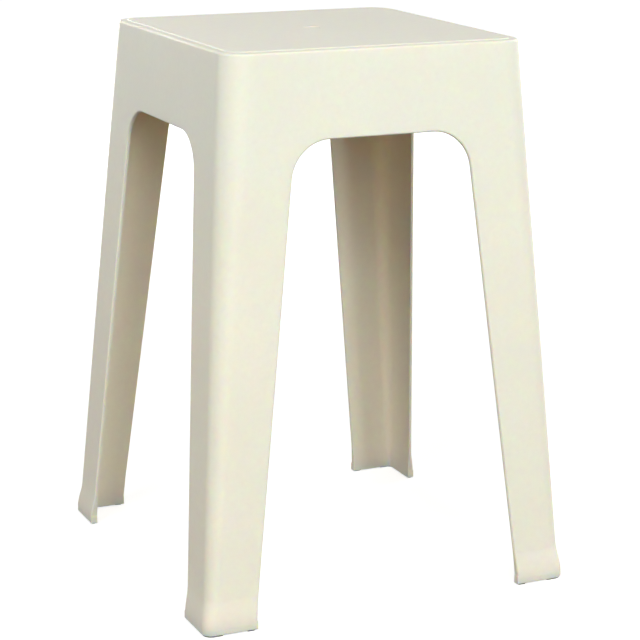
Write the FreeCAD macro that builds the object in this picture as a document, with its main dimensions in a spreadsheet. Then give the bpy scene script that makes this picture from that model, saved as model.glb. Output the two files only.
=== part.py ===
import FreeCAD, Part
import math
import os
import Sketcher

# A stacking stool moulded in one piece: a square seat, four apron walls and four legs of L section.
# Twelve rubber pads sit in blind sockets in the soles of the feet and carry the stool.
# Everything is in millimetres. +Z is up, and the origin is on the floor under the middle of the seat.

SIZES = {
    # the whole stool
    "overall_height": 450.0,
    "seat_width": 258.0,
    "wall_draft": 3.96,
    "wall_thickness": 3.0,
    # corners seen from above
    "seat_corner_radius": 20.5,
    "leg_corner_radius": 9.5,
    "foot_corner_radius": 8.5,
    "foot_inner_radius": 2.5,
    # seat
    "seat_thickness": 3.2,
    "seat_edge_radius": 2.0,
    "seat_rim_width": 5.0,
    "panel_rise": 0.9,
    "panel_edge_radius": 1.5,
    "gate_mark_radius": 6.5,
    "gate_mark_depth": 0.4,
    # arches between the legs
    "apron_depth": 69.1,
    "leg_width_at_apron": 59.7,
    "leg_width_at_foot": 42.5,
    "arch_corner_radius": 33.0,
    "arch_edge_radius": 1.3,
    # flared feet
    "flare_height": 28.0,
    "plinth_height": 6.0,
    "foot_flare": 1.75,
    "sole_thickness": 6.0,
    "sole_edge_radius": 1.0,
    "heel_block_height": 8.0,
    "heel_block_reach": 0.3,
    # ribs under the seat
    "rib_thickness": 2.0,
    "rib_depth": 12.0,
    "hub_radius": 22.0,
    "stack_pitch": 70.0,
    "stack_stop_length": 24.0,
    # pads in the soles
    "pad_width": 3.4,
    "pad_end_radius": 1.2,
    "end_pad_length": 7.0,
    "end_pad_margin": 1.6,
    "corner_pad_reach": 16.0,
    "pad_proud": 1.0,
    "pad_socket_depth": 3.0,
    "pad_clearance": 0.05,
    "pad_edge_radius": 0.3,
}

LEGS = ("front_left", "front_right", "back_right", "back_left")
WALLS = ("front", "right", "back", "left")
QUARTER_TURN = 90.0
# How near a point has to be to a height or a wall to count as lying on it
NEAR = 0.01

# Heights that follow from the driving sizes, as formulas on the sheet
RIM_HEIGHT = "(Sizes.overall_height - Sizes.panel_rise)"
SEAT_UNDERSIDE = f"({RIM_HEIGHT} - Sizes.seat_thickness)"
RIB_ROOT = f"({RIM_HEIGHT} - Sizes.seat_thickness / 2)"
ARCH_TOP = "(Sizes.overall_height - Sizes.apron_depth)"
STOP_HEIGHT = "(Sizes.overall_height - Sizes.stack_pitch)"
# The seat's top is a shallow cap whose corners keep one centre, above walls whose corners sharpen downwards
CAP_DEPTH = "(2 * Sizes.seat_edge_radius)"
CAP_BASE = f"({RIM_HEIGHT} - {CAP_DEPTH})"
CAP_CORNER = f"(Sizes.seat_corner_radius + {CAP_DEPTH} * tan(Sizes.wall_draft))"


def wall_half(height):
    """Half the width over the outer walls at a height, as the draft widens it downwards."""
    return f"(Sizes.seat_width / 2 + ({RIM_HEIGHT} - {height}) * tan(Sizes.wall_draft))"


def wall_corner(height):
    """Outer corner radius at a height, shrinking evenly from the cap to the top of the foot flare."""
    shrink = f"({CAP_CORNER} - Sizes.leg_corner_radius)"
    fall = f"({CAP_BASE} - {height}) / ({CAP_BASE} - Sizes.flare_height)"
    return f"({CAP_CORNER} - {shrink} * {fall})"


def diagonal_to_wall(height):
    """Distance from the axis to the middle of the wall's thickness, along the diagonal of the seat."""
    flat = f"({wall_half(height)} - {wall_corner(height)})"
    return f"({flat} * sqrt(2) + {wall_corner(height)} - Sizes.wall_thickness / 2)"


FOOT_HALF = f"({wall_half('Sizes.plinth_height')} + Sizes.foot_flare)"
ARCH_HALF_AT_APRON = f"({wall_half(ARCH_TOP)} - Sizes.leg_width_at_apron)"
ARCH_HALF_AT_BLOCK = f"({wall_half('Sizes.heel_block_height')} - Sizes.leg_width_at_foot)"
ARCH_HALF_AT_SOLE = f"({ARCH_HALF_AT_BLOCK} - Sizes.heel_block_reach)"
SOLE_MIDDLE = f"({FOOT_HALF} - Sizes.sole_thickness / 2)"

# Level sections between which the flare of the feet bends
FLARE_STEPS = 4


def flare_section(share):
    """Height, half width and corner radius of the flare, a share of the way down from its top.

    The side is a cubic curve that starts on the drafted wall and ends upright on the plinth.
    """
    fall = "(Sizes.flare_height - Sizes.plinth_height)"
    height = f"(Sizes.flare_height - {share} * {fall})"
    along_wall = share - 2 * share ** 2 + share ** 3
    outwards = 3 * share ** 2 - 2 * share ** 3
    leg_half = wall_half("Sizes.flare_height")
    drafted = f"{along_wall} * {fall} * tan(Sizes.wall_draft)"
    half = f"({leg_half} + {drafted} + {outwards} * ({FOOT_HALF} - {leg_half}))"
    rounding = "(Sizes.foot_corner_radius - Sizes.leg_corner_radius)"
    return height, half, f"(Sizes.leg_corner_radius + {share} * {rounding})"


doc = FreeCAD.newDocument("StackingStool")
sheet = doc.addObject("Spreadsheet::Sheet", "Sizes")


def fill_sheet():
    for row, (name, size) in enumerate(SIZES.items(), start=1):
        sheet.set(f"A{row}", name)
        sheet.set(f"B{row}", str(size))
        sheet.setAlias(f"B{row}", name)
    doc.recompute()


def value(formula):
    """Number that a formula on the sheet gives now."""
    return float(sheet.evalExpression(formula))


def origin_feature(body, role):
    for feature in body.Origin.OriginFeatures:
        if feature.Role == role:
            return feature
    raise ValueError(role)


def sketch_on(body, role, name, height=None, turn=0.0):
    """Sketch on an origin plane of its own body, lifted to a height and turned about its normal."""
    sketch = body.newObject("Sketcher::SketchObject", name)
    sketch.AttachmentSupport = [(origin_feature(body, role), "")]
    sketch.MapMode = "FlatFace"
    rotation = FreeCAD.Rotation(FreeCAD.Vector(0, 0, 1), turn)
    sketch.AttachmentOffset = FreeCAD.Placement(FreeCAD.Vector(0, 0, 0), rotation)
    if height is not None:
        sketch.setExpression("AttachmentOffset.Base.z", height)
    return sketch


def held_point(index, position, point):
    """Constraints that hold a point of the sketch at the place that two formulas give."""
    held = []
    for kind, formula in zip(("DistanceX", "DistanceY"), point):
        distance = value(formula)
        if distance < 0:
            constraint = Sketcher.Constraint(kind, index, position, -1, 1, -distance)
            held.append((constraint, f"-({formula})"))
        else:
            held.append((Sketcher.Constraint(kind, -1, 1, index, position, distance), formula))
    return held


def outline(sketch, corners):
    """Closed outline through corners, each an (x, y) pair of formulas with an optional rounding.

    The sides that meet at a rounded corner are square to each other, one level and one upright.
    """
    count = len(corners)
    places = [FreeCAD.Vector(value(corner[0]), value(corner[1]), 0) for corner in corners]

    def eased(number, towards):
        """Corner, moved by its rounding along the side that leads towards its neighbour."""
        point = list(corners[number][:2])
        if len(corners[number]) > 2:
            step = places[towards] - places[number]
            axis = 0 if abs(step.x) > abs(step.y) else 1
            sign = "+" if step[axis] > 0 else "-"
            point[axis] = f"({point[axis]} {sign} {corners[number][2]})"
        return point

    first_side = sketch.GeometryCount
    held = []
    for number in range(count):
        following = (number + 1) % count
        side = first_side + number
        start = eased(number, following)
        end = eased(following, number)
        ends = [FreeCAD.Vector(value(point[0]), value(point[1]), 0) for point in (start, end)]
        sketch.addGeometry(Part.LineSegment(*ends))
        held += held_point(side, 1, start)
        if len(corners[following]) > 2:
            held += held_point(side, 2, end)
        else:
            joint = Sketcher.Constraint("Coincident", side, 2, first_side + following, 1)
            held.append((joint, None))
    for number in range(count):
        if len(corners[number]) > 2:
            before = first_side + (number - 1) % count
            held += rounded_corner(sketch, before, first_side + number, value(corners[number][2]))
    numbers = sketch.addConstraint([constraint for constraint, formula in held])
    for place, (constraint, formula) in zip(numbers, held):
        if formula:
            sketch.setExpression(f"Constraints[{place}]", formula)


def rounded_corner(sketch, before, after, radius):
    """Quarter arc from the end of one side to the start of the next, with its constraints."""
    incoming = sketch.Geometry[before]
    outgoing = sketch.Geometry[after]
    leaving = (incoming.EndPoint - incoming.StartPoint).normalize()
    turning = (outgoing.EndPoint - outgoing.StartPoint).normalize()
    centre = incoming.EndPoint + turning * radius
    left_turn = leaving.cross(turning).z > 0
    first = incoming.EndPoint if left_turn else outgoing.StartPoint
    spoke = first - centre
    angle = math.atan2(spoke.y, spoke.x)
    full = Part.Circle(centre, FreeCAD.Vector(0, 0, 1), radius)
    arc = sketch.addGeometry(Part.ArcOfCircle(full, angle, angle + math.pi / 2))
    arc_from, arc_to = (1, 2) if left_turn else (2, 1)
    return [
        (Sketcher.Constraint("Tangent", before, 2, arc, arc_from), None),
        (Sketcher.Constraint("Coincident", arc, arc_to, after, 1), None),
    ]


def circle(sketch, radius):
    """Circle about the sketch's origin."""
    shape = Part.Circle(FreeCAD.Vector(0, 0, 0), FreeCAD.Vector(0, 0, 1), value(radius))
    index = sketch.addGeometry(shape)
    sketch.addConstraint(Sketcher.Constraint("Coincident", index, 3, -1, 1))
    number = sketch.addConstraint(Sketcher.Constraint("Radius", index, value(radius)))
    sketch.setExpression(f"Constraints[{number}]", radius)


def rounded_square(body, name, height, half, radius):
    """Level section of the stool: a square with rounded corners about the axis."""
    sketch = sketch_on(body, "XY_Plane", name, height)
    low = f"-{half}"
    outline(sketch, [(low, low, radius), (half, low, radius), (half, half, radius), (low, half, radius)])
    return sketch


def rib_section(body, name, height, turn, start, end):
    """Level section of a rib between two distances from the axis, at an angle to the X axis."""
    sketch = sketch_on(body, "XY_Plane", name, height, turn)
    side = "Sizes.rib_thickness / 2"
    outline(sketch, [(start, f"-{side}"), (end, f"-{side}"), (end, side), (start, side)])
    return sketch


def loft(body, kind, name, sections, ruled=True):
    """Loft through level sections, straight-sided or curved, added to the body or cut from it."""
    feature = body.newObject(f"PartDesign::{kind}Loft", name)
    feature.Profile = sections[0]
    feature.Sections = sections[1:]
    feature.Ruled = ruled
    doc.recompute()
    return feature


def extrusion(body, name, profile, length):
    """Straight extrusion of a sketch, upwards."""
    feature = body.newObject("PartDesign::Pad", name)
    feature.Profile = profile
    feature.setExpression("Length", length)
    doc.recompute()
    return feature


def pocket(body, name, profile, depth, upwards=False):
    """Pocket below its sketch, or above it where the cut goes upwards."""
    before = body.Shape.Volume
    feature = body.newObject("PartDesign::Pocket", name)
    feature.Profile = profile
    feature.Reversed = upwards
    feature.setExpression("Length", depth)
    doc.recompute()
    assert body.Shape.Volume < before, name
    return feature


def four_times(body, name, feature):
    """Repeat a feature on the other three sides or corners."""
    pattern = body.newObject("PartDesign::PolarPattern", name)
    pattern.Originals = [feature]
    pattern.Axis = (origin_feature(body, "Z_Axis"), [""])
    pattern.Angle = 4 * QUARTER_TURN
    pattern.Occurrences = 4
    body.Tip = pattern
    doc.recompute()
    return pattern


def fillet(body, name, base, radius, chosen):
    """Round the edges that a test picks from the shape so far."""
    names = [f"Edge{n}" for n, edge in enumerate(base.Shape.Edges, start=1) if chosen(edge)]
    assert names, name
    feature = body.newObject("PartDesign::Fillet", name)
    feature.Base = (base, names)
    feature.setExpression("Radius", radius)
    doc.recompute()
    return feature


def edge_points(edge):
    """Two ends and the middle of an edge."""
    first, last = edge.FirstParameter, edge.LastParameter
    return [edge.valueAt(place) for place in (first, (first + last) / 2, last)]


def level_edge(edge, height):
    return all(abs(point.z - height) < NEAR for point in edge_points(edge))


def outer_form(body):
    """Closed outside: upright plinth, soft flare, drafted walls and cap, with a rounded edge at the sole."""
    foot_corner = "Sizes.foot_corner_radius"
    sole = rounded_square(body, "sole_section", "Sizes.pad_proud", FOOT_HALF, foot_corner)
    plinth = rounded_square(body, "plinth_section", "Sizes.plinth_height", FOOT_HALF, foot_corner)
    flare = [plinth]
    for step in range(FLARE_STEPS - 1, 0, -1):
        height, half, radius = flare_section(step / FLARE_STEPS)
        flare.append(rounded_square(body, f"flare_section_{step}", height, half, radius))
    leg_half = wall_half("Sizes.flare_height")
    leg = rounded_square(body, "leg_section", "Sizes.flare_height", leg_half, "Sizes.leg_corner_radius")
    flare.append(leg)
    cap_base = rounded_square(body, "cap_section", CAP_BASE, wall_half(CAP_BASE), CAP_CORNER)
    loft(body, "Additive", "plinth_form", [sole, plinth])
    loft(body, "Additive", "flare_form", flare, ruled=False)
    loft(body, "Additive", "wall_form", [leg, cap_base])
    seat_half = "(Sizes.seat_width / 2)"
    rim = rounded_square(body, "rim_section", RIM_HEIGHT, seat_half, "Sizes.seat_corner_radius")
    cap = extrusion(body, "cap", rim, CAP_DEPTH)
    cap.Reversed = True
    cap.setExpression("TaperAngle", "Sizes.wall_draft")
    doc.recompute()
    sole_height = value("Sizes.pad_proud")
    return fillet(body, "sole_edge", cap, "Sizes.sole_edge_radius",
                  lambda edge: level_edge(edge, sole_height))


def seat_top(body):
    """Rounded outer edge, narrow flat rim and a panel that stands just above the rim."""
    rim_height = value(RIM_HEIGHT)
    fillet(body, "seat_edge", body.Tip, "Sizes.seat_edge_radius",
           lambda edge: level_edge(edge, rim_height))
    inset = "(Sizes.seat_edge_radius + Sizes.seat_rim_width)"
    base_half = f"(Sizes.seat_width / 2 - {inset})"
    base_radius = f"(Sizes.seat_corner_radius - {inset})"
    sections = [
        rounded_square(body, "panel_base", RIM_HEIGHT, base_half, base_radius),
        rounded_square(body, "panel_face", "Sizes.overall_height",
                       f"({base_half} - Sizes.panel_rise)", f"({base_radius} - Sizes.panel_rise)"),
    ]
    panel = loft(body, "Additive", "panel", sections)
    panel_height = value("Sizes.overall_height")
    return fillet(body, "panel_edge", panel, "Sizes.panel_edge_radius",
                  lambda edge: level_edge(edge, panel_height))


def cavity(body):
    """Hollow inside, which follows the walls and stands upright inside the thick soles."""
    foot_half = f"({FOOT_HALF} - Sizes.sole_thickness)"
    foot_radius = "Sizes.foot_inner_radius"
    leg_half = f"({wall_half('Sizes.flare_height')} - Sizes.wall_thickness)"
    leg_radius = "(Sizes.leg_corner_radius - Sizes.wall_thickness)"
    seat_half = f"({wall_half(SEAT_UNDERSIDE)} - Sizes.wall_thickness)"
    seat_radius = f"({wall_corner(SEAT_UNDERSIDE)} - Sizes.wall_thickness)"
    sections = [
        rounded_square(body, "floor_hollow", "0", foot_half, foot_radius),
        rounded_square(body, "plinth_hollow", "Sizes.plinth_height", foot_half, foot_radius),
        rounded_square(body, "leg_hollow", "Sizes.flare_height", leg_half, leg_radius),
        rounded_square(body, "seat_hollow", SEAT_UNDERSIDE, seat_half, seat_radius),
    ]
    return loft(body, "Subtractive", "cavity", sections)


def seat_ribs(body):
    """Ribs from wall to wall and from corner to corner under the seat, and a hub ring about the middle."""
    rib_bottom = f"({SEAT_UNDERSIDE} - Sizes.rib_depth)"
    rib_rise = f"({RIB_ROOT} - {rib_bottom})"
    to_wall = f"({wall_half(SEAT_UNDERSIDE)} - Sizes.wall_thickness / 2)"
    to_corner = diagonal_to_wall(SEAT_UNDERSIDE)
    for name, turn, end in (
        ("cross_rib", 0, to_wall),
        ("long_rib", QUARTER_TURN, to_wall),
        ("rising_rib", QUARTER_TURN / 2, to_corner),
        ("falling_rib", -QUARTER_TURN / 2, to_corner),
    ):
        section = rib_section(body, f"{name}_section", rib_bottom, turn, f"-{end}", end)
        extrusion(body, name, section, rib_rise)
    hub = sketch_on(body, "XY_Plane", "hub_section", rib_bottom)
    circle(hub, "(Sizes.hub_radius - Sizes.rib_thickness / 2)")
    circle(hub, "(Sizes.hub_radius + Sizes.rib_thickness / 2)")
    return extrusion(body, "hub_ring", hub, rib_rise)


def stack_stops(body):
    """Deep rib in each corner, on whose lower end the seat of the stool below comes to rest."""
    foot_end = diagonal_to_wall(STOP_HEIGHT)
    root_end = diagonal_to_wall(RIB_ROOT)
    start = f"({foot_end} - Sizes.stack_stop_length)"
    diagonal = QUARTER_TURN / 2
    sections = [
        rib_section(body, "stop_foot", STOP_HEIGHT, diagonal, start, foot_end),
        rib_section(body, "stop_root", RIB_ROOT, diagonal, start, root_end),
    ]
    return four_times(body, "stack_stops", loft(body, "Additive", "stack_stop", sections))


def arches(body):
    """Arch through each pair of facing walls, with a heel block left at each leg's end."""
    below = "-Sizes.pad_proud"
    right_side = [
        (ARCH_HALF_AT_SOLE, below),
        (ARCH_HALF_AT_SOLE, "Sizes.heel_block_height"),
        (ARCH_HALF_AT_BLOCK, "Sizes.heel_block_height"),
        (ARCH_HALF_AT_APRON, ARCH_TOP),
    ]
    left_side = [(f"-{across}", up) for across, up in reversed(right_side)]
    for plane, name in (("XZ_Plane", "front_to_back"), ("YZ_Plane", "side_to_side")):
        sketch = sketch_on(body, plane, f"{name}_outline")
        outline(sketch, right_side + left_side)
        feature = body.newObject("PartDesign::Pocket", f"{name}_arch")
        feature.Profile = sketch
        feature.Type = "ThroughAll"
        feature.SideType = "Symmetric"
        doc.recompute()
    arch_top = value(ARCH_TOP)
    apron_half = value(ARCH_HALF_AT_APRON)

    def arch_corner(edge):
        """Short edge through a wall, where the top of an arch meets its side."""
        if not level_edge(edge, arch_top):
            return False
        ends = edge_points(edge)
        across_x = all(abs(abs(point.x) - apron_half) < NEAR for point in ends)
        across_y = all(abs(abs(point.y) - apron_half) < NEAR for point in ends)
        return across_x or across_y

    return fillet(body, "arch_corners", body.Tip, "Sizes.arch_corner_radius", arch_corner)


def arch_edges(body):
    """Soft outer edge all round each arch, from heel block to heel block."""
    rim = value(RIM_HEIGHT)
    block_top = value("Sizes.heel_block_height")
    slope = math.tan(math.radians(value("Sizes.wall_draft")))
    arch_top = value(ARCH_TOP)
    apron_half = value(ARCH_HALF_AT_APRON)
    spread = (value(ARCH_HALF_AT_BLOCK) - apron_half) / (arch_top - block_top)

    def mid_wall(height):
        """Distance from the axis to the middle of a drafted wall's thickness."""
        outer_half = value("Sizes.seat_width") / 2 + (rim - height) * slope
        return outer_half - value("Sizes.wall_thickness") / 2

    def arch_outer_edge(edge):
        """Edge on the outer side of a wall that follows the arch's outline."""
        for axis, other in ((0, 1), (1, 0)):
            points = edge_points(edge)
            outside = all(abs(point[other]) > mid_wall(point.z) for point in points)
            reach = [apron_half + (arch_top - point.z) * spread for point in points]
            inside = all(abs(point[axis]) < limit + NEAR for point, limit in zip(points, reach))
            if outside and inside and points[1].z > block_top + NEAR:
                return True
        return False

    return fillet(body, "arch_edge", body.Tip, "Sizes.arch_edge_radius", arch_outer_edge)


def corner_pad(room):
    """Corners of the angle pad under the front left leg's corner, grown by the room left round it."""
    outer = f"({SOLE_MIDDLE} + Sizes.pad_width / 2 + {room})"
    inner = f"({SOLE_MIDDLE} - Sizes.pad_width / 2 - {room})"
    reach = f"({FOOT_HALF} - Sizes.corner_pad_reach - {room})"
    outer_radius = f"(Sizes.foot_corner_radius - {FOOT_HALF} + {outer})"
    inner_radius = f"({outer_radius} - {outer} + {inner})"
    end_radius = "Sizes.pad_end_radius"
    return [
        (f"-{outer}", f"-{outer}", outer_radius),
        (f"-{reach}", f"-{outer}", end_radius),
        (f"-{reach}", f"-{inner}", end_radius),
        (f"-{inner}", f"-{inner}", inner_radius),
        (f"-{inner}", f"-{reach}", end_radius),
        (f"-{outer}", f"-{reach}", end_radius),
    ]


def end_pad(room, along_front):
    """Corners of the oblong pad under the free end of the front left leg's front or side wing."""
    near_end = f"({ARCH_HALF_AT_SOLE} + Sizes.end_pad_margin - {room})"
    far_end = f"({ARCH_HALF_AT_SOLE} + Sizes.end_pad_margin + Sizes.end_pad_length + {room})"
    outer = f"({SOLE_MIDDLE} + Sizes.pad_width / 2 + {room})"
    inner = f"({SOLE_MIDDLE} - Sizes.pad_width / 2 - {room})"
    radius = "Sizes.pad_end_radius"
    low, high = (f"-{far_end}", f"-{near_end}"), (f"-{outer}", f"-{inner}")
    across, up = (low, high) if along_front else (high, low)
    return [
        (across[0], up[0], radius),
        (across[1], up[0], radius),
        (across[1], up[1], radius),
        (across[0], up[1], radius),
    ]


def pads_of_leg(room):
    """Outlines of the three pads of the front left leg: corner, front wing and side wing."""
    return corner_pad(room), end_pad(room, True), end_pad(room, False)


def pad_sockets(body):
    """Blind sockets for the pads, three in the sole of each leg."""
    sketch = sketch_on(body, "XY_Plane", "socket_outlines", "Sizes.pad_proud")
    for corners in pads_of_leg("Sizes.pad_clearance"):
        outline(sketch, corners)
    sockets = pocket(body, "sockets", sketch, "Sizes.pad_socket_depth", upwards=True)
    return four_times(body, "pad_sockets", sockets)


def gate_mark(body):
    """Shallow round mark in the middle of the seat, left where the plastic entered the mould."""
    sketch = sketch_on(body, "XY_Plane", "gate_mark_outline", "Sizes.overall_height")
    circle(sketch, "Sizes.gate_mark_radius")
    return pocket(body, "gate_mark", sketch, "Sizes.gate_mark_depth")


def stool_shell():
    body = doc.addObject("PartDesign::Body", "stool_shell")
    body.Label = "stool_shell"
    outer_form(body)
    seat_top(body)
    gate_mark(body)
    cavity(body)
    pad_sockets(body)
    arches(body)
    arch_edges(body)
    seat_ribs(body)
    stack_stops(body)
    return body


def foot_pad(name, turn, corners):
    """Rubber pad as tall as its socket is deep plus what stands below the sole."""
    body = doc.addObject("PartDesign::Body", name)
    body.Label = name
    sketch = sketch_on(body, "XY_Plane", f"{name}_outline")
    outline(sketch, corners)
    block = extrusion(body, f"{name}_block", sketch, "(Sizes.pad_proud + Sizes.pad_socket_depth)")
    fillet(body, f"{name}_edge", block, "Sizes.pad_edge_radius", lambda edge: level_edge(edge, 0))
    axis = FreeCAD.Vector(0, 0, 1)
    body.Placement = FreeCAD.Placement(FreeCAD.Vector(0, 0, 0), FreeCAD.Rotation(axis, turn))
    return body


def foot_pads():
    """Three pads for each leg, drawn once for the front left leg and turned about the axis."""
    pads = []
    for number, leg in enumerate(LEGS):
        places = ("corner", WALLS[number], WALLS[number - 1])
        for place, corners in zip(places, pads_of_leg("0")):
            pads.append(foot_pad(f"{leg}_foot_pad_{place}", number * QUARTER_TURN, corners))
    return pads


def check_document(pieces):
    """Stop before anything is written if a feature failed or a piece has no valid solid."""
    for item in doc.Objects:
        failed = {"Invalid", "Error"} & set(item.State)
        assert not failed, f"{item.Name} {item.State}"
    for piece in pieces:
        assert not piece.Shape.isNull() and piece.Shape.isValid(), piece.Label
        assert len(piece.Shape.Solids) == 1, piece.Label


def write_pieces(pieces):
    os.makedirs("parts", exist_ok=True)
    for piece in pieces:
        piece.Shape.exportStep(f"parts/{piece.Label}.step")
        box = piece.Shape.BoundBox
        extent = f"{box.XLength:.1f} x {box.YLength:.1f} x {box.ZLength:.1f}"
        print(f"{piece.Label}: {piece.Shape.Volume:.0f} mm3, {extent} mm")


fill_sheet()
all_pieces = [stool_shell()] + foot_pads()
doc.recompute()
check_document(all_pieces)
write_pieces(all_pieces)
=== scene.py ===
# %% [markdown]
# # A moulded stacking stool
# The stool is one shell of cream polypropylene, moulded in a single shot, with twelve small rubber
# pads pressed into the soles of its feet. The shell could be modelled again here, but the packed
# model already holds every real size and radius, so its pieces stay as they are. This lesson gives
# them their finish, then sets up the floor, the studio light and the camera of a plain product
# picture. Blender measures in metres. The small sizes of patterns and finishes are written in
# millimetres and turned to metres where they are used.

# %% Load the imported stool
import bpy
import math
from mathutils import Matrix, Vector


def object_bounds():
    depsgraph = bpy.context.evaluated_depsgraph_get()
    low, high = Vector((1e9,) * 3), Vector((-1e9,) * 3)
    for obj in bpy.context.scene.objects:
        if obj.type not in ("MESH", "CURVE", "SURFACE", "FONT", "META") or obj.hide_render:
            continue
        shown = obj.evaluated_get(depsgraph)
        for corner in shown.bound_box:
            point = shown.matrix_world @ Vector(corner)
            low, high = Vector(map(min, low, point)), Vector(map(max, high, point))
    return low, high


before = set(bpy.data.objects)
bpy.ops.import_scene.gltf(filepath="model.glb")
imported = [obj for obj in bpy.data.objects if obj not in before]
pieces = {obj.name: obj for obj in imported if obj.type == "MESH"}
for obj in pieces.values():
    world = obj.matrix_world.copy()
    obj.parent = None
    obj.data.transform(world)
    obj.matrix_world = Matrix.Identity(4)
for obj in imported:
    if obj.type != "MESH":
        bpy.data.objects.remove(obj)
cad_low, cad_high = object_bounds()
MM = 0.001
shell = pieces["stool_shell"]
foot_pads = [piece for name, piece in sorted(pieces.items()) if "foot_pad" in name]
stool_height = cad_high.z - cad_low.z
print(f"{len(pieces)} pieces, {stool_height / MM:.0f} mm tall, {len(foot_pads)} foot pads")

# %% [markdown]
# ## Colours
# Paint charts and screens give colours as sRGB hex values, while a renderer adds up light and so
# needs linear ones. The linear numbers could be typed in, but nobody can read a colour from them.
# One small function turns a hex value to linear instead, so that every colour below can be written
# the way a designer would write it.

# %% Hex colours to linear light
def linear(hex_colour):
    """Linear RGBA from an sRGB value such as "#F2EFE2"."""
    def channel(start):
        share = int(hex_colour[start:start + 2], 16) / 255
        if share <= 0.04045:
            return share / 12.92
        return ((share + 0.055) / 1.055) ** 2.4
    return (channel(1), channel(3), channel(5), 1.0)


print("mid grey in linear light:", round(linear("#808080")[0], 3))

# %% [markdown]
# ## Nodes
# A material is a small network of nodes. A second helper adds one node, sets its options and its
# socket values, and joins it to the nodes that feed it, so that each material below reads as a list
# of what it is made of. A texture's scale is how often its pattern repeats in a metre, so a third
# helper turns the real size of a pattern, in millimetres, to that number.

# %% Add one node to a material
def add_node(tree, kind, settings=(), inputs=(), links=()):
    """New node. Settings are its options, inputs its socket values and links what feeds it."""
    node = tree.nodes.new(kind)
    for name, setting in dict(settings).items():
        setattr(node, name, setting)
    for socket, number in dict(inputs).items():
        node.inputs[socket].default_value = number
    for socket, source in dict(links).items():
        tree.links.new(source, node.inputs[socket])
    return node


def new_material(name):
    """Empty material and its node tree."""
    material = bpy.data.materials.new(name)
    material.use_nodes = True
    material.node_tree.nodes.clear()
    return material, material.node_tree


def per_metre(millimetres):
    """Scale of a texture whose pattern is this large on the real object."""
    return 1 / (millimetres * MM)


print("a 10 mm pattern repeats", round(per_metre(10)), "times in a metre")

# %% [markdown]
# ## The shell's colour
# Polypropylene is dyed right through, so there is no coat that could chip or wear off. What varies
# is slight: the pigment drifts where the melt slowed down, which makes clouds as wide as a hand,
# and the granules leave a faint mottling. One flat colour would look too clean, and a picture of
# plastic would need seams, so two noise textures give the two scales. They read Object coordinates,
# so the pattern sits still in the plastic and runs on round every corner.

# %% Cream pigment with a slow drift
CREAM = linear("#F3EEDE")
CREAM_SHADE = linear("#F0EBDA")
DRIFT_SIZE = 70.0
MOTTLE_SIZE = 4.0
# Two noises multiplied stay mostly between these two shares, which are stretched to the full range.
ALL_SHADE = 0.12
ALL_CREAM = 0.40


def cream_pigment(tree, place):
    """Colour of the plastic before the greying at the feet, as a socket."""
    drift = add_node(tree, "ShaderNodeTexNoise",
                     inputs={"Scale": per_metre(DRIFT_SIZE), "Detail": 2.0, "Roughness": 0.5},
                     links={"Vector": place})
    mottle = add_node(tree, "ShaderNodeTexNoise",
                      inputs={"Scale": per_metre(MOTTLE_SIZE), "Detail": 3.0, "Roughness": 0.6},
                      links={"Vector": place})
    both = add_node(tree, "ShaderNodeMath", settings={"operation": "MULTIPLY"},
                    links={0: drift.outputs["Fac"], 1: mottle.outputs["Fac"]})
    share = add_node(tree, "ShaderNodeMapRange",
                     inputs={"From Min": ALL_SHADE, "From Max": ALL_CREAM},
                     links={"Value": both.outputs[0]})
    mixed = add_node(tree, "ShaderNodeMix", settings={"data_type": "RGBA"},
                     inputs={"A": CREAM_SHADE, "B": CREAM}, links={"Factor": share.outputs[0]})
    return mixed.outputs["Result"]


print("cream in linear light:", [round(part, 3) for part in CREAM[:3]])

# %% [markdown]
# ## Greyer towards the floor
# The lowest two or three centimetres of the legs are made a little greyer and darker. On this
# stool it hardly shows. It could be painted on the mesh, but a ramp along the height needs no
# picture: it fades the grey out upwards, and a noise breaks its upper edge into patches.

# %% Greyer plastic near the floor
# A greyer, darker colour laid over the lowest part of the legs.
FOOT_GREY = linear("#CFC9B8")
FOOT_GREY_TOP = 26.0
FOOT_GREY_PATCH = 9.0
FOOT_GREY_MOST = 0.16
NOISE_AVERAGE = 0.5


def greyed_at_feet(tree, place, pigment_colour):
    """The given colour, a little greyer and darker over the feet, as a socket."""
    split = add_node(tree, "ShaderNodeSeparateXYZ", links={"Vector": place})
    fade = add_node(tree, "ShaderNodeMapRange", settings={"interpolation_type": "SMOOTHSTEP"},
                    inputs={"From Min": FOOT_GREY_TOP * MM, "From Max": 0.0,
                            "To Min": 0.0, "To Max": FOOT_GREY_MOST / NOISE_AVERAGE},
                    links={"Value": split.outputs["Z"]})
    patches = add_node(tree, "ShaderNodeTexNoise",
                       inputs={"Scale": per_metre(FOOT_GREY_PATCH), "Detail": 4.0, "Roughness": 0.65},
                       links={"Vector": place})
    amount = add_node(tree, "ShaderNodeMath", settings={"operation": "MULTIPLY"},
                      links={0: fade.outputs[0], 1: patches.outputs["Fac"]})
    mixed = add_node(tree, "ShaderNodeMix", settings={"data_type": "RGBA"},
                     inputs={"B": FOOT_GREY}, links={"Factor": amount.outputs[0], "A": pigment_colour})
    return mixed.outputs["Result"]


print(f"greying fades out {FOOT_GREY_TOP:.0f} mm above the floor")

# %% [markdown]
# ## Sheen
# The mould for such a stool is blasted to a fine satin, so its highlights are broad and soft. The
# seat is rubbed by clothes, which leaves short faint scuffs whose gloss differs a little from the
# rest. A noise that is stretched along one direction draws the scuffs, and a slow one varies the
# satin. Both change only the roughness: nothing of this shows as a colour.

# %% Satin roughness with rubbed patches
SATIN = 0.45
SATIN_SWING = 0.05
RUBBED_PATCH = 35.0
SCUFF_LENGTH = 30.0
SCUFF_WIDTH = 1.5
SCUFF_TURN = math.radians(32)
# Two noises added stay mostly between these two sums.
SUM_SMOOTH = 0.7
SUM_ROUGH = 1.3


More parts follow.
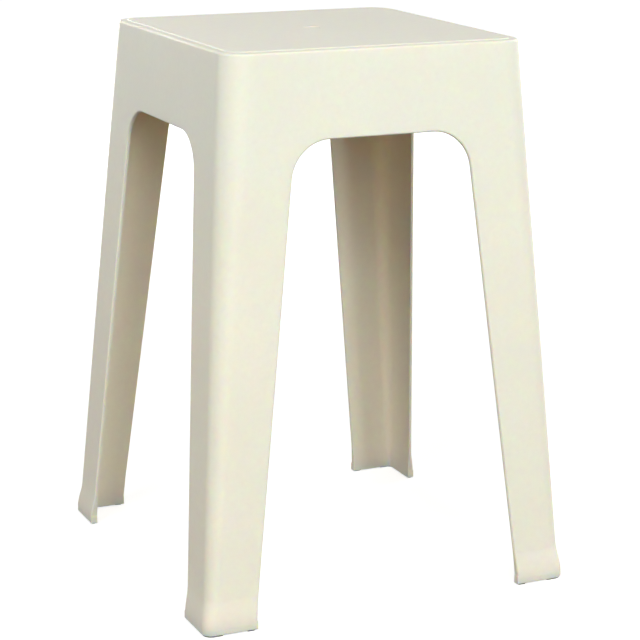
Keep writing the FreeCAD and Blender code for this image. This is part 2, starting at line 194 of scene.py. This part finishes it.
def satin_roughness(tree, place):
    """Roughness of the shell, as a socket."""
    patches = add_node(tree, "ShaderNodeTexNoise",
                       inputs={"Scale": per_metre(RUBBED_PATCH), "Detail": 3.0, "Roughness": 0.55},
                       links={"Vector": place})
    stretched = add_node(tree, "ShaderNodeMapping", settings={"vector_type": "TEXTURE"},
                         inputs={"Rotation": (0.0, 0.0, SCUFF_TURN),
                                 "Scale": (SCUFF_LENGTH * MM, SCUFF_WIDTH * MM, SCUFF_LENGTH * MM)},
                         links={"Vector": place})
    scuffs = add_node(tree, "ShaderNodeTexNoise",
                      inputs={"Scale": 1.0, "Detail": 2.0, "Roughness": 0.5},
                      links={"Vector": stretched.outputs["Vector"]})
    both = add_node(tree, "ShaderNodeMath", settings={"operation": "ADD"},
                    links={0: patches.outputs["Fac"], 1: scuffs.outputs["Fac"]})
    rough = add_node(tree, "ShaderNodeMapRange",
                     inputs={"From Min": SUM_SMOOTH, "From Max": SUM_ROUGH,
                             "To Min": SATIN - SATIN_SWING, "To Max": SATIN + SATIN_SWING},
                     links={"Value": both.outputs[0]})
    return rough.outputs[0]


print(f"roughness from {SATIN - SATIN_SWING:.2f} to {SATIN + SATIN_SWING:.2f}")

# %% [markdown]
# ## Moulded surface
# Two unevennesses are left by the mould. A satin grain of about a quarter of a millimetre takes the
# hard shine off, and since one pixel of the picture is about 0.9 mm, it is drawn at that size so
# that it shows at all. The wide flat walls also draw in a little as the thick melt cools, in waves
# about as wide as a thumb is long. Both could be real bumps in the mesh, but neither changes the
# outline, so they only tilt the shading.

# %% Grain and cooling waves
GRAIN_SIZE = 0.9
GRAIN_HEIGHT = 0.05
GRAIN_STRENGTH = 0.15
WAVE_SIZE = 60.0
WAVE_HEIGHT = 0.12


def moulded_surface(tree, place):
    """Normal of the shell, as a socket."""
    waves = add_node(tree, "ShaderNodeTexNoise",
                     inputs={"Scale": per_metre(WAVE_SIZE), "Detail": 0.0}, links={"Vector": place})
    wavy = add_node(tree, "ShaderNodeBump",
                    inputs={"Strength": 1.0, "Distance": WAVE_HEIGHT * MM},
                    links={"Height": waves.outputs["Fac"]})
    grain = add_node(tree, "ShaderNodeTexNoise",
                     inputs={"Scale": per_metre(GRAIN_SIZE), "Detail": 2.0, "Roughness": 0.5},
                     links={"Vector": place})
    grainy = add_node(tree, "ShaderNodeBump",
                      inputs={"Strength": GRAIN_STRENGTH, "Distance": GRAIN_HEIGHT * MM},
                      links={"Height": grain.outputs["Fac"], "Normal": wavy.outputs["Normal"]})
    return grainy.outputs["Normal"]


print(f"grain {GRAIN_SIZE} mm, waves {WAVE_SIZE:.0f} mm wide and {WAVE_HEIGHT} mm high")

# %% [markdown]
# ## Light inside the plastic
# A wall of polypropylene 3 mm thick lets some light through. Red light travels furthest in the
# plastic and blue the least, which is why the inside of the legs glows like honey although the
# outside is a pale cream. A solid, painted surface would leave the inside grey, and a see-through
# one would show the ribs. Subsurface scattering gives both looks with one colour: its radius says
# how far each colour travels. Only half of the light scatters here and the rest leaves where it
# came in, which keeps the edges crisp.

# %% The shell's material
# How many millimetres red, green and blue light travel.
LIGHT_PATH = Vector((6.8, 3.2, 0.2))
SCATTERED_SHARE = 0.5
POLYPROPYLENE_IOR = 1.49
# Less than the neutral 0.5, because the blasted mould leaves a surface that hardly mirrors.
MIRRORED_LEVEL = 0.3


def moulded_polypropylene():
    """Satin cream polypropylene, injection moulded: soft highlights and a warm inside."""
    material, tree = new_material("moulded_polypropylene_cream")
    place = add_node(tree, "ShaderNodeTexCoord").outputs["Object"]
    colour = greyed_at_feet(tree, place, cream_pigment(tree, place))
    surface = add_node(tree, "ShaderNodeBsdfPrincipled",
                       inputs={"IOR": POLYPROPYLENE_IOR, "Specular IOR Level": MIRRORED_LEVEL,
                               "Subsurface Weight": SCATTERED_SHARE,
                               "Subsurface Radius": LIGHT_PATH, "Subsurface Scale": MM},
                       links={"Base Color": colour, "Roughness": satin_roughness(tree, place),
                              "Normal": moulded_surface(tree, place)})
    add_node(tree, "ShaderNodeOutputMaterial", links={"Surface": surface.outputs["BSDF"]})
    return material


cream = moulded_polypropylene()
for slot in shell.material_slots:
    slot.material = cream
print(cream.name, "has", len(cream.node_tree.nodes), "nodes")

# %% [markdown]
# ## The foot pads
# The pads are moulded from black rubber filled with soot. Rubber is matt, never quite even, and
# holds dust where it meets the floor. Its colour is a dark grey, because a pure black would swallow
# the small edges. A speckle varies the grey, a ramp lays the dust over the lowest millimetre, and
# the same speckle roughens the surface. One speckle for all three is how real dust behaves: it
# stays where the rubber is rough.

# %% Rubber colours
RUBBER = linear("#2A2927")
RUBBER_BLOOM = linear("#3B3936")
RUBBER_DUST = linear("#7A7468")
SPECKLE_SIZE = 1.2
DUST_TOP = 1.2
DUST_MOST = 0.6


def dusty_rubber_colour(tree, place, speckle):
    """Dark speckled grey with dust along the floor, as a socket."""
    grey = add_node(tree, "ShaderNodeMix", settings={"data_type": "RGBA"},
                    inputs={"A": RUBBER, "B": RUBBER_BLOOM}, links={"Factor": speckle})
    split = add_node(tree, "ShaderNodeSeparateXYZ", links={"Vector": place})
    fade = add_node(tree, "ShaderNodeMapRange",
                    inputs={"From Min": DUST_TOP * MM, "From Max": 0.0,
                            "To Min": 0.0, "To Max": DUST_MOST},
                    links={"Value": split.outputs["Z"]})
    dust = add_node(tree, "ShaderNodeMath", settings={"operation": "MULTIPLY"},
                    links={0: fade.outputs[0], 1: speckle})
    dusty = add_node(tree, "ShaderNodeMix", settings={"data_type": "RGBA"},
                     inputs={"B": RUBBER_DUST},
                     links={"Factor": dust.outputs[0], "A": grey.outputs["Result"]})
    return dusty.outputs["Result"]


print(f"dust reaches {DUST_TOP} mm up the pads")

# %% The pads' material
RUBBER_IOR = 1.52
SMOOTHEST = 0.6
ROUGHEST = 0.8
# A noise stays mostly between these two shares.
SPECKLE_LOW = 0.3
SPECKLE_HIGH = 0.7
SPECKLE_HEIGHT = 0.08
SPECKLE_STRENGTH = 0.3


def moulded_rubber():
    """Matt black rubber, moulded: a dark grey without any sharp highlight."""
    material, tree = new_material("moulded_rubber_black")
    place = add_node(tree, "ShaderNodeTexCoord").outputs["Object"]
    speckle = add_node(tree, "ShaderNodeTexNoise",
                       inputs={"Scale": per_metre(SPECKLE_SIZE), "Detail": 3.0, "Roughness": 0.6},
                       links={"Vector": place}).outputs["Fac"]
    rough = add_node(tree, "ShaderNodeMapRange",
                     inputs={"From Min": SPECKLE_LOW, "From Max": SPECKLE_HIGH,
                             "To Min": SMOOTHEST, "To Max": ROUGHEST},
                     links={"Value": speckle})
    bumpy = add_node(tree, "ShaderNodeBump",
                     inputs={"Strength": SPECKLE_STRENGTH, "Distance": SPECKLE_HEIGHT * MM},
                     links={"Height": speckle})
    surface = add_node(tree, "ShaderNodeBsdfPrincipled", inputs={"IOR": RUBBER_IOR},
                       links={"Base Color": dusty_rubber_colour(tree, place, speckle),
                              "Roughness": rough.outputs[0], "Normal": bumpy.outputs["Normal"]})
    add_node(tree, "ShaderNodeOutputMaterial", links={"Surface": surface.outputs["BSDF"]})
    return material


black = moulded_rubber()
for piece in foot_pads:
    for slot in piece.material_slots:
        slot.material = black
print(black.name, "is on", len(foot_pads), "pads")

# %% [markdown]
# ## Floor
# The picture has a plain white ground. White paper under soft light is never quite white at its far
# end, and stronger lamps would bleach the stool, so the paper here glows for the camera only, and
# for what mirrors it. It glows less close to the stool, where the lamps make up the rest: there the
# stool takes the lamps away and its shadow stays. The light that the paper throws back at the stool
# is only that of a dark grey, so that the inside of the legs doesn't fill up.

# %% Rays that see the white ground
def seen_directly(tree):
    """1 for rays from the camera, mirrored rays and rays through glass, as a socket."""
    rays = add_node(tree, "ShaderNodeLightPath").outputs
    straight = add_node(tree, "ShaderNodeMath", settings={"operation": "MAXIMUM"},
                        links={0: rays["Is Camera Ray"], 1: rays["Is Glossy Ray"]})
    seen = add_node(tree, "ShaderNodeMath", settings={"operation": "MAXIMUM"},
                    links={0: straight.outputs[0], 1: rays["Is Transmission Ray"]})
    return seen.outputs[0]


WHITE = (1.0, 1.0, 1.0, 1.0)
print("the ground is", WHITE[:3], "for rays that see it directly")

# %% Paper floor
FLOOR_HALF = 6.0
PAPER = linear("#B9B7B3")
PAPER_BOUNCE = linear("#3A3938")
NEAR_STOOL = 0.7
FAR_FROM_STOOL = 1.5
NEAR_GLOW = 0.74


def paper_material():
    """Matt white paper: even and without shine, so that nothing but the shadow shows on it."""
    material, tree = new_material("matt_paper_white")
    place = add_node(tree, "ShaderNodeTexCoord").outputs["Object"]
    away = add_node(tree, "ShaderNodeVectorMath", settings={"operation": "LENGTH"},
                    links={0: place})
    glow = add_node(tree, "ShaderNodeMapRange", settings={"interpolation_type": "SMOOTHSTEP"},
                    inputs={"From Min": NEAR_STOOL, "From Max": FAR_FROM_STOOL,
                            "To Min": NEAR_GLOW, "To Max": 1.0},
                    links={"Value": away.outputs["Value"]})
    shine = add_node(tree, "ShaderNodeEmission", inputs={"Color": WHITE},
                     links={"Strength": glow.outputs[0]})
    lit = add_node(tree, "ShaderNodeBsdfDiffuse", inputs={"Color": PAPER})
    bright = add_node(tree, "ShaderNodeAddShader", links={0: lit.outputs[0], 1: shine.outputs[0]})
    dull = add_node(tree, "ShaderNodeBsdfDiffuse", inputs={"Color": PAPER_BOUNCE})
    paper = add_node(tree, "ShaderNodeMixShader",
                     links={0: seen_directly(tree), 1: dull.outputs[0], 2: bright.outputs[0]})
    add_node(tree, "ShaderNodeOutputMaterial", links={"Surface": paper.outputs[0]})
    return material


bpy.ops.mesh.primitive_plane_add(size=2 * FLOOR_HALF)
floor = bpy.context.object
floor.name = "floor"
floor.data.materials.append(paper_material())
print(f"floor {2 * FLOOR_HALF:.0f} m square")

# %% [markdown]
# ## Surroundings
# Beyond the floor everything is white for the camera. A backdrop of real paper could stand there,
# but it would be in the way of a camera behind the stool, so the world is white instead. For light
# that bounces off the stool the surroundings are much dimmer, a trace of fill so that no side goes
# black in another view.

# %% World
AMBIENT = 0.02
world = bpy.data.worlds.new("studio")
bpy.context.scene.world = world
world.use_nodes = True
tree = world.node_tree
tree.nodes.clear()
dim = add_node(tree, "ShaderNodeBackground", inputs={"Color": WHITE, "Strength": AMBIENT})
bright = add_node(tree, "ShaderNodeBackground", inputs={"Color": WHITE, "Strength": 1.0})
mixed = add_node(tree, "ShaderNodeMixShader",
                 links={0: seen_directly(tree), 1: dim.outputs[0], 2: bright.outputs[0]})
add_node(tree, "ShaderNodeOutputWorld", links={"Surface": mixed.outputs[0]})
print("ambient fill", AMBIENT)

# %% [markdown]
# ## Lamps
# The picture was lit softly and almost without shadows: the front wall is brightest, the left wall
# and the seat are a step darker. Sun lamps would draw hard edges, so square area lamps stand in for
# softboxes. They are far enough away that the light hardly falls off from the apron to the feet.
# One lamp behind the stool and one to its right, a little behind it, shine through the walls of the
# back legs, which is what the honey colour inside them comes from. None stands where the seat or the
# left wall would mirror it straight to the camera. From low behind or low left the seat does mirror
# the lamps on the far side and goes white, which is the weak point of this set-up.

# %% Softboxes
LAMP_DISTANCE = 3.5
LAMP_SIZE = 1.4
STOOL_MIDDLE = Vector((0.0, 0.0, stool_height / 2))


def softbox(name, azimuth, elevation, power):
    """Square lamp aimed at the stool. Azimuth 0 is in front, and positive to the right."""
    turn = math.radians(azimuth)
    lift = math.radians(elevation)
    away = Vector((math.sin(turn) * math.cos(lift), -math.cos(turn) * math.cos(lift), math.sin(lift)))
    light = bpy.data.lights.new(name, "AREA")
    light.shape = "SQUARE"
    light.size = LAMP_SIZE
    light.energy = power
    lamp = bpy.data.objects.new(name, light)
    bpy.context.collection.objects.link(lamp)
    lamp.location = STOOL_MIDDLE + away * LAMP_DISTANCE
    lamp.rotation_euler = away.to_track_quat("Z", "Y").to_euler()
    print(name, power, "W")


softbox("left_softbox", azimuth=-55, elevation=38, power=64.0)
softbox("low_left_softbox", azimuth=-95, elevation=12, power=9.0)
softbox("front_softbox", azimuth=-8, elevation=22, power=56.0)
softbox("low_right_softbox", azimuth=45, elevation=14, power=43.0)
softbox("back_softbox", azimuth=180, elevation=8, power=64.0)
softbox("back_right_softbox", azimuth=105, elevation=16, power=55.0)

# %% [markdown]
# ## Camera
# The camera stands where the picture was taken from, found by fitting the stool's corners. It looks
# from 24 degrees left of the front and 14 degrees above. The picture was cropped off centre, which
# could be met by turning the camera, but that would make the legs lean. So the lens is shifted by
# the few pixels that the crop asks for, and a third of a degree of roll levels the seat as in the
# picture.

# %% Camera at the picture's angle
IMAGE_SIDE = 640
SENSOR = 36.0
AZIMUTH = math.radians(-24.352)
ELEVATION = math.radians(13.988)
ROLL = math.radians(0.323)
DISTANCE = 1.7741
FOCAL_PIXELS = 2089.1
CENTRE_X = -9.168
CENTRE_Y = -27.439

back = Vector((math.sin(AZIMUTH) * math.cos(ELEVATION), -math.cos(AZIMUTH) * math.cos(ELEVATION),
               math.sin(ELEVATION)))
level_right = (-back).cross(Vector((0.0, 0.0, 1.0))).normalized()
level_up = level_right.cross(-back)
right = level_right * math.cos(ROLL) + level_up * math.sin(ROLL)
up = level_up * math.cos(ROLL) - level_right * math.sin(ROLL)
camera_data = bpy.data.cameras.new("camera")
camera_data.sensor_width = SENSOR
camera_data.lens = SENSOR * FOCAL_PIXELS / IMAGE_SIDE
camera_data.shift_x = -CENTRE_X / IMAGE_SIDE
camera_data.shift_y = CENTRE_Y / IMAGE_SIDE
camera = bpy.data.objects.new("camera", camera_data)
bpy.context.collection.objects.link(camera)
stand = STOOL_MIDDLE + back * DISTANCE
turn = Matrix((right, up, back)).transposed()
camera.matrix_world = Matrix.Translation(stand) @ turn.to_4x4()
bpy.context.scene.camera = camera
bpy.context.scene.view_settings.view_transform = "Standard"
print(f"lens {camera_data.lens:.1f} mm at {DISTANCE:.2f} m")
